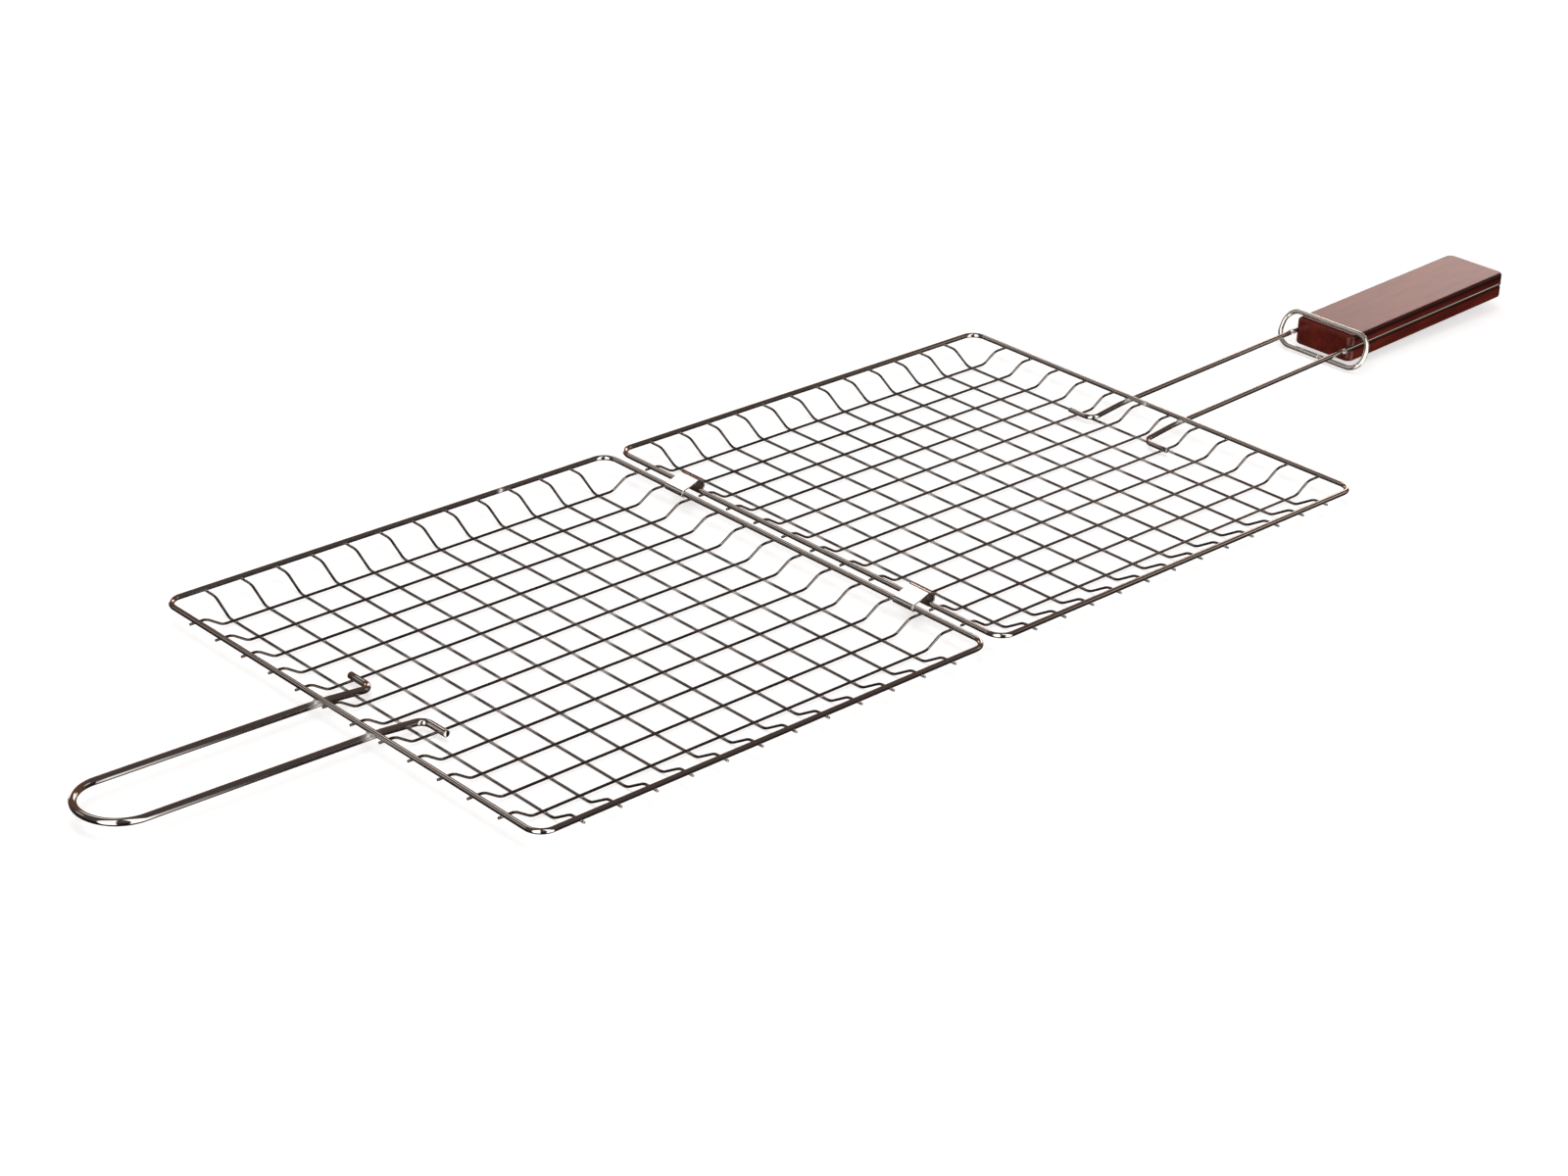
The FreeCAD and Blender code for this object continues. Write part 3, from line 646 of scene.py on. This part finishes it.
def groove_depth(point, inward, height):
    """How far in from the outline the groove's wall is, at a height from the wire's centre."""
    wall = math.sqrt(max(GROOVE_RADIUS ** 2 - height ** 2, 0.0))
    if offset_from_wire(*point) <= -wall:
        return 0.0
    near, far = 0.0, 6.0
    for _ in range(20):
        middle = (near + far) / 2
        if offset_from_wire(*(point + inward * middle)) > -wall:
            near = middle
        else:
            far = middle
    return near


def grip_profile(top, bottom):
    """The levels of the grip's skin, from bottom to top: (height, inset, groove). groove is a height from the
    wire's centre where the level follows the groove's wall, "lip" at its worn edges, and None elsewhere."""
    lip = 0.35
    quarter = [math.radians(90 * k / 6) for k in range(7)]
    wall = [-1.0, -0.999, -0.9, -0.7, -0.4, 0.0, 0.4, 0.7, 0.9, 0.999, 1.0]
    levels = [(bottom, 3.9, None), (bottom, 2.6, None)]
    levels += [(bottom + GRIP_EDGE * (1 - math.cos(a)), GRIP_EDGE * (1 - math.sin(a)), None) for a in quarter]
    levels += [(z, 0.0, None) for z in (-4.5, -3.0, -2.1, -GROOVE_RADIUS - lip)]
    levels.append((-GROOVE_RADIUS - 0.1, 0.0, "lip"))
    levels += [(GROOVE_RADIUS * share, 0.0, GROOVE_RADIUS * share) for share in wall]
    levels.append((GROOVE_RADIUS + 0.1, 0.0, "lip"))
    levels += [(z, 0.0, None) for z in (GROOVE_RADIUS + lip, 2.1, 2.8, 3.5, 4.2, 4.9)]
    levels += [(top - GRIP_EDGE * (1 - math.sin(a)), GRIP_EDGE * (1 - math.cos(a)), None) for a in quarter]
    return levels + [(top, 2.6, None), (top, 3.9, None)]


def grip_skin(profile):
    """Points and faces of the grip about its own middle, one ring of points for each level."""
    outline, _ = spaced(rounded_rectangle(GRIP_LENGTH / 2, GRIP_WIDTH / 2, GRIP_CORNER, turn=9.0), 5.0,
                        closed=True)
    outline = outline[:, :2]
    inward = np.roll(outline, -1, axis=0) - np.roll(outline, 1, axis=0)
    inward = np.stack([-inward[:, 1], inward[:, 0]], axis=1)
    inward /= np.linalg.norm(inward, axis=1)[:, None]
    rings = []
    for z, inset, groove in profile:
        if groove is None:
            depth = np.full(len(outline), inset)
        elif groove == "lip":
            depth = np.array([min(0.12, groove_depth(p, n, 0.0)) for p, n in zip(outline, inward)])
        else:
            depth = np.array([groove_depth(p, n, groove) for p, n in zip(outline, inward)])
        rings.append(np.column_stack([outline + inward * depth[:, None], np.full(len(outline), z)]))
    points = np.vstack(rings)
    count = len(outline)
    faces = [tuple(range(count - 1, -1, -1)), tuple(range(len(points) - count, len(points)))]
    for r in range(len(rings) - 1):
        for k in range(count):
            n = (k + 1) % count
            faces.append((r * count + k, r * count + n, (r + 1) * count + n, (r + 1) * count + k))
    return points, faces


def build_wood_grip(handle):
    """A softly edged bar with a round-bottomed groove along both sides for the wire."""
    top, bottom = GRIP_THICKNESS - GRIP_BELOW_WIRE - SKIN, SKIN - GRIP_BELOW_WIRE
    local, faces = grip_skin(grip_profile(top, bottom))
    centre = handle.weld + handle.lead * (GRIP_DISTANCE + GRIP_LENGTH / 2)
    points = centre + local[:, :1] * handle.lead + local[:, 1:2] * [[0, 1, 0]] + local[:, 2:] * handle.up
    # A dark band painted along the top of the long sides, as painted shade.
    down = top - local[:, 2]
    shade_band = np.clip((SHADE_BAND_TO - down) / 1.8, 0, 1) * np.clip((down - SHADE_BAND_FROM) / 0.2, 0, 1)
    shade_band *= np.clip((GRIP_LENGTH / 2 - 1.5 - np.abs(local[:, 0])) / 3, 0, 1)
    make_piece("wood_grip_bar", points, faces, "grip_half", WOOD, ["wood_grip"], sharp=50,
               painted_light=0.95 * shade_band)


# ---------------------------------------------------------------- locking ring

def build_locking_ring(handle):
    """The loose ring, leaning on the grip's front end, its two wire ends meeting in the lower bar."""
    grip_top = GRIP_THICKNESS - GRIP_BELOW_WIRE
    top_bar = (handle.weld + handle.lead * (GRIP_DISTANCE + RING_SEAT)
               + handle.up * (grip_top + RING_GAP + RING_DIAMETER / 2))
    lean = math.radians(RING_LEAN)
    upright = np.array([math.sin(lean), 0, math.cos(lean)])
    facing = np.array([math.cos(lean), 0, -math.sin(lean)])
    centre = top_bar - upright * (RING_HEIGHT / 2)
    line = rounded_rectangle(RING_HEIGHT / 2, RING_WIDTH / 2, RING_CORNER, turn=3.0)
    butt = 1.2
    line, at = spaced(line, 4.0, [(butt, 0.3), (butt, 0.12)], closed=True)
    line = centre + line[:, :1] * upright + line[:, 1:2] * [[0, 1, 0]]
    off = at - butt
    radius = RING_DIAMETER / 2 - SKIN - 0.5 * np.exp(-(off / 0.16) ** 2)
    points, faces = tube(line, facing, radius, radius, 28, closed=True)
    # A painted highlight at the butt: duller, less metallic plating.
    make_piece("locking_ring_wire", points, faces, "locking_ring", RING_WIRE,
               ["locking_ring"], painted_light=np.repeat(0.6 * highlight_near(off, 0.5), 28))


# ---------------------------------------------------------------- hinge clips

def clip_line(left_tray, right_tray):
    """The strip's middle line in the XZ plane: a close barrel, a slightly sagging flat and a loose hook."""
    barrel = (left_tray.centre + [left_tray.half, 0, 0])[[0, 2]]
    hook = (right_tray.centre - [right_tray.half, 0, 0])[[0, 2]] + [HOOK_SHIFT, HOOK_RISE]
    close, loose = CLIP_BORE + CLIP_THICKNESS / 2, HOOK_BORE + CLIP_THICKNESS / 2
    run, rise = hook - barrel
    # The flat between the two curls touches both of them at this angle round their centres
    meet = math.atan2(rise, run) + math.acos((close - loose) / math.hypot(run, rise))
    outward = np.array([math.cos(meet), math.sin(meet)])

    def curl(centre, radius, first, last):
        turn = np.linspace(math.radians(first), math.radians(last), 41) + meet
        return centre + radius * np.column_stack([np.cos(turn), np.sin(turn)])

    left, right = curl(barrel, close, CLIP_TAIL, 0), curl(hook, loose, 0, -HOOK_TAIL)
    share = np.arange(1, 8)[:, None] / 8
    flat = left[-1] * (1 - share) + right[0] * share - outward * CLIP_SAG * np.sin(math.pi * share)
    return np.vstack([left, flat, right])


def build_clip(node, left_tray, right_tray):
    """A sheet strip over both hinge rims, each end curled round its rim."""
    low, high = box_mm(node)
    line = clip_line(left_tray, right_tray)
    forward = np.gradient(line, axis=0)
    forward /= np.linalg.norm(forward, axis=1)[:, None]
    normal = np.stack([-forward[:, 1], forward[:, 0]], axis=1)
    outer, inner = line + normal * CLIP_THICKNESS / 2, line - normal * CLIP_THICKNESS / 2
    count = len(line)
    stations = np.linspace(low[1], high[1], 7)
    points = [(x, y, z) for y in stations for x, z in np.vstack([outer, inner])]
    faces = []
    for s in range(len(stations) - 1):
        a, b = s * 2 * count, (s + 1) * 2 * count
        for k in range(count - 1):
            faces.append((a + k, b + k, b + k + 1, a + k + 1))
            faces.append((a + count + k, a + count + k + 1, b + count + k + 1, b + count + k))
        faces.append((a, a + count, b + count, b))
        faces.append((a + count - 1, b + count - 1, b + 2 * count - 1, a + 2 * count - 1))
    last = (len(stations) - 1) * 2 * count
    for k in range(count - 1):
        faces.append((k, k + 1, count + k + 1, count + k))
        faces.append((last + k, last + count + k, last + count + k + 1, last + k + 1))
    piece = make_piece(f"{node}_strip", points, faces, "hinge_clips", SHEET, [node], sharp=40)
    bevel = piece.modifiers.new("worn_edges", "BEVEL")
    bevel.width, bevel.segments = 0.12 * MM, 2
    bevel.limit_method, bevel.angle_limit = "ANGLE", math.radians(50)


# ---------------------------------------------------------------- studio

def build_floor():
    mesh = bpy.data.meshes.new("floor")
    half, low = 40.0, -0.0002   # metres; just under the basket, so that no faces coincide
    corners = [(-half, -half, low), (half, -half, low), (half, half, low), (-half, half, low)]
    mesh.from_pydata(corners, [], [(0, 1, 2, 3)])
    floor = bpy.data.objects.new("floor", mesh)
    bpy.context.scene.collection.objects.link(floor)
    n = Nodes("pale_floor")
    n.shader.inputs["Base Color"].default_value = (0.55, 0.55, 0.55, 1)
    n.shader.inputs["Roughness"].default_value = 0.9
    n.shader.inputs["Specular IOR Level"].default_value = 0.1
    n.shader.inputs["Emission Color"].default_value = (1.0, 1.0, 1.0, 1)
    n.shader.inputs["Emission Strength"].default_value = FLOOR_GLOW
    mesh.materials.append(n.material)
    floor.visible_glossy = False    # plated wires would otherwise vanish into its reflection


class Sky:
    """Small helper for wiring the studio's brightness by direction."""

    def __init__(self):
        self.world = bpy.data.worlds.new("studio")
        self.world.use_nodes = True
        self.tree = self.world.node_tree
        self.direction = self.tree.nodes.new("ShaderNodeTexCoord").outputs["Generated"]

    def vector(self, operation, a, b=None):
        node = self.tree.nodes.new("ShaderNodeVectorMath")
        node.operation = operation
        self.tree.links.new(a, node.inputs[0])
        if b is not None:
            node.inputs[1].default_value = b
        return node.outputs["Value" if operation == "DOT_PRODUCT" else "Vector"]

    def math(self, operation, a, b=0.0):
        node = self.tree.nodes.new("ShaderNodeMath")
        node.operation = operation
        for socket, value in zip(node.inputs, (a, b)):
            if isinstance(value, bpy.types.NodeSocket):
                self.tree.links.new(value, socket)
            else:
                socket.default_value = value
        return node.outputs[0]

    def step(self, value, low, high):
        """A smooth change from 0 to 1 as the value goes from low to high."""
        node = self.tree.nodes.new("ShaderNodeMapRange")
        node.interpolation_type = "SMOOTHSTEP"
        self.tree.links.new(value, node.inputs["Value"])
        node.inputs["From Min"].default_value, node.inputs["From Max"].default_value = low, high
        return node.outputs["Result"]

    def mix(self, share, a, b):
        node = self.tree.nodes.new("ShaderNodeMix")
        node.data_type = "RGBA"
        self.tree.links.new(share, node.inputs[0])
        for socket, value in ((node.inputs[6], a), (node.inputs[7], b)):
            if isinstance(value, bpy.types.NodeSocket):
                self.tree.links.new(value, socket)
            else:
                socket.default_value = (*value, 1.0)
        return node.outputs[2]


def build_world():
    """A dim studio with two bright screens beside the camera and a few bright cards."""
    sky = Sky()
    height = sky.vector("DOT_PRODUCT", sky.direction, (0, 0, 1))
    x = sky.vector("DOT_PRODUCT", sky.direction, (1, 0, 0))
    y = sky.vector("DOT_PRODUCT", sky.direction, (0, 1, 0))
    level = sky.vector("NORMALIZE", sky.vector("MULTIPLY", sky.direction, (1, 1, 0)))
    facing = sky.vector("DOT_PRODUCT", level, (-0.7071, -0.7071, 0))
    gap = math.radians(GAP_AZIMUTH + 90)
    from_gap = sky.math("ABSOLUTE", sky.vector("DOT_PRODUCT", level, (math.cos(gap), math.sin(gap), 0)))

    room = sky.mix(sky.step(height, *HORIZON), FLOOR_GLOOM, ROOM_GLOOM)
    behind = sky.math("MULTIPLY", sky.step(facing, *BACK_EDGE), sky.step(height, *BACK_TOP))
    room = sky.mix(behind, room, BACK_GLOOM)
    slanted = sky.math("ADD", x, sky.math("MULTIPLY", sky.math("MAXIMUM", height), SCREEN_SLANT))
    sides = sky.math("MULTIPLY", sky.step(y, *SCREEN_LEFT), sky.step(slanted, *SCREEN_RIGHT))
    open_part = sky.math("MULTIPLY", sky.step(from_gap, *GAP_EDGE), sky.step(height, *SCREEN_FOOT))
    lit = sky.mix(sky.math("MULTIPLY", sides, open_part), room, SCREEN_GLOW)
    for direction, (edge, full), glow in CARDS:
        toward = sky.vector("DOT_PRODUCT", sky.direction, tuple(Vector(direction).normalized()))
        share = sky.step(toward, math.cos(math.radians(edge)), math.cos(math.radians(full)))
        lit = sky.mix(share, lit, glow)
    rays = sky.tree.nodes.new("ShaderNodeLightPath")
    lit = sky.mix(rays.outputs["Is Camera Ray"], lit, PALE_BACKDROP)
    sky.tree.links.new(lit, sky.tree.nodes["Background"].inputs["Color"])
    bpy.context.scene.world = sky.world


def add_softbox(name, direction, distance, width, height, power):
    """A soft rectangular studio light, aimed at the origin. Its lengths are metres and its power is watts."""
    light = bpy.data.lights.new(name, "AREA")
    light.shape, light.size, light.size_y, light.energy = "RECTANGLE", width, height, power
    lamp = bpy.data.objects.new(name, light)
    back = Vector(direction).normalized()
    lamp.location = back * distance
    lamp.rotation_euler = back.to_track_quat("Z", "Y").to_euler()
    lamp.visible_glossy = False
    bpy.context.scene.collection.objects.link(lamp)


def build_camera(aim):
    azimuth, elevation, roll = math.radians(-AZIMUTH), math.radians(ELEVATION), math.radians(ROLL)
    level = Vector((math.cos(azimuth), -math.sin(azimuth), 0))
    above = Vector((math.sin(azimuth) * math.sin(elevation), math.cos(azimuth) * math.sin(elevation),
                    math.cos(elevation)))
    forward = Vector((math.sin(azimuth) * math.cos(elevation), math.cos(azimuth) * math.cos(elevation),
                      -math.sin(elevation)))
    right = level * math.cos(roll) - above * math.sin(roll)
    up = level * math.sin(roll) + above * math.cos(roll)
    data = bpy.data.cameras.new("camera")
    data.lens, data.sensor_width = LENS, 36.0
    data.clip_start, data.clip_end = 0.05, 200.0
    camera = bpy.data.objects.new("camera", data)
    bpy.context.scene.collection.objects.link(camera)
    place = Vector(aim) + (right * CAMERA_RIGHT + up * CAMERA_UP - forward * CAMERA_DISTANCE) * MM
    turned = Matrix((right, up, -forward)).transposed().to_4x4()
    turned.translation = place
    camera.matrix_world = turned
    bpy.context.scene.camera = camera


loop_tray = Tray("loop_tray", -1, "loop_half")
grip_tray = Tray("grip_tray", 1, "grip_half")
perimeter = 8 * (loop_tray.half - RIM_CORNER) + 2 * math.pi * RIM_CORNER
build_tray(loop_tray, perimeter * LOOP_TRAY_SEAM)
build_tray(grip_tray, perimeter * GRIP_TRAY_SEAM)
build_loop_handle(loop_tray)
long_handle = build_long_handle(grip_tray)
build_wood_grip(long_handle)
build_locking_ring(long_handle)
build_clip("hinge_clip_left", loop_tray, grip_tray)
build_clip("hinge_clip_right", loop_tray, grip_tray)

build_floor()
build_world()
add_softbox("overhead", (-0.2, 0.1, 1.0), 2.6, 2.4, 1.6, 30)
build_camera((loop_tray.centre + [loop_tray.half, 0, 0]) * MM)
bpy.context.scene.view_settings.view_transform = "Standard"
